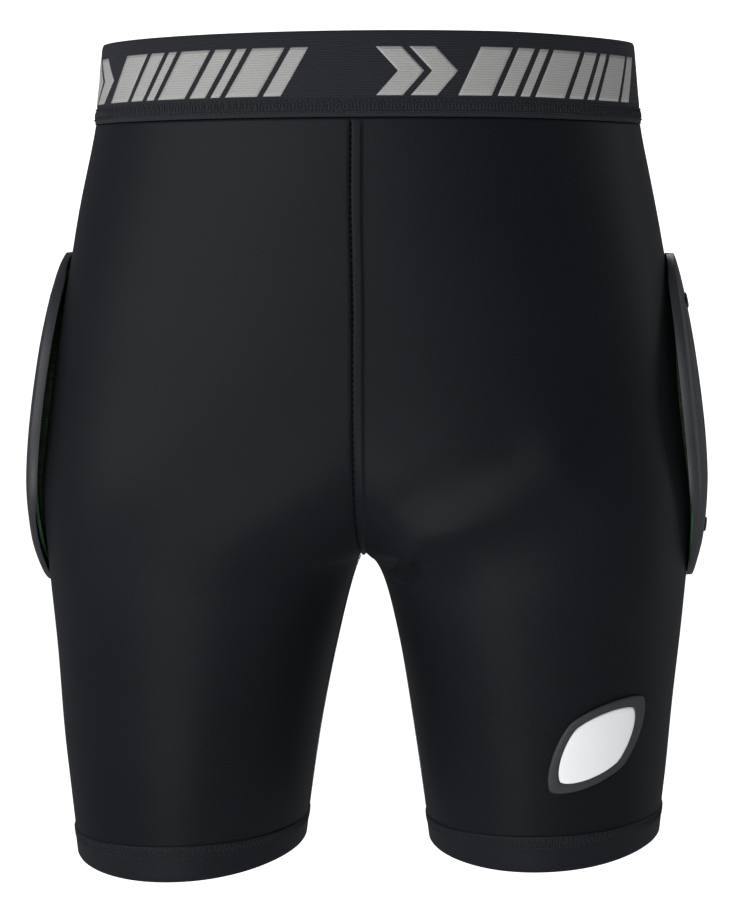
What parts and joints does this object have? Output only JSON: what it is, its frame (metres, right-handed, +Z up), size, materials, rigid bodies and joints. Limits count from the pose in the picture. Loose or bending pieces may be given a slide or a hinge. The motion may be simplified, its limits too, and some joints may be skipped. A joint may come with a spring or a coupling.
{
  "type": "padded impact shorts",
  "caption": "Tight stretch shorts with a wide elastic waistband, vented hard hip shields over foam, inner hip and tailbone pads, and a badge on one thigh",
  "frame": {"origin": "centre of the waist opening, level with the top edge of the waistband", "axes": "+Z up, -Y is the wearer's front, +X is the wearer's left"},
  "size_m": [0.3696, 0.2489, 0.4391],
  "materials": {
    "stretch_fabric": "smooth satin stretch knit, charcoal black",
    "elastic": null,
    "lining_mesh": "fine open mesh",
    "pad_foam": "black closed-cell foam",
    "comfort_foam": "green foam",
    "shield_plastic": "satin dark grey moulded plastic",
    "rivet_metal": "black painted",
    "badge_rubber": "dark grey moulded rubber",
    "badge_silver": "silver white moulded rubber",
    "label_cloth": "blank woven label"
  },
  "bodies": {
    "root": {"waistband_elastic": "elastic", "waist_label_blank": "label_cloth", "centre_front_seam": "stretch_fabric", "centre_back_seam": "stretch_fabric", "tailbone_pad": "pad_foam", "tailbone_pad_lining": "lining_mesh", "leg_badge_base": "badge_rubber", "leg_badge_face": "badge_silver", "front_panel_left": "stretch_fabric", "front_panel_right": "stretch_fabric", "back_panel_left": "stretch_fabric", "back_panel_right": "stretch_fabric", "leg_band_left": "stretch_fabric", "leg_band_right": "stretch_fabric", "hip_shield_left": "shield_plastic", "hip_shield_right": "shield_plastic", "hip_comfort_foam_left": "comfort_foam", "hip_comfort_foam_right": "comfort_foam", "hip_spacer_pad_left": "pad_foam", "hip_spacer_pad_right": "pad_foam", "hip_pad_left": "pad_foam", "hip_pad_right": "pad_foam", "hip_pad_lining_left": "lining_mesh", "hip_pad_lining_right": "lining_mesh", "shield_rivet_1_left": "rivet_metal", "shield_rivet_1_right": "rivet_metal", "rivet_washer_1_left": "rivet_metal", "rivet_washer_1_right": "rivet_metal", "shield_rivet_2_left": "rivet_metal", "shield_rivet_2_right": "rivet_metal", "rivet_washer_2_left": "rivet_metal", "rivet_washer_2_right": "rivet_metal", "shield_rivet_3_left": "rivet_metal", "shield_rivet_3_right": "rivet_metal", "rivet_washer_3_left": "rivet_metal", "rivet_washer_3_right": "rivet_metal", "shield_rivet_4_left": "rivet_metal", "shield_rivet_4_right": "rivet_metal", "rivet_washer_4_left": "rivet_metal", "rivet_washer_4_right": "rivet_metal"}
  },
  "joints": []
}
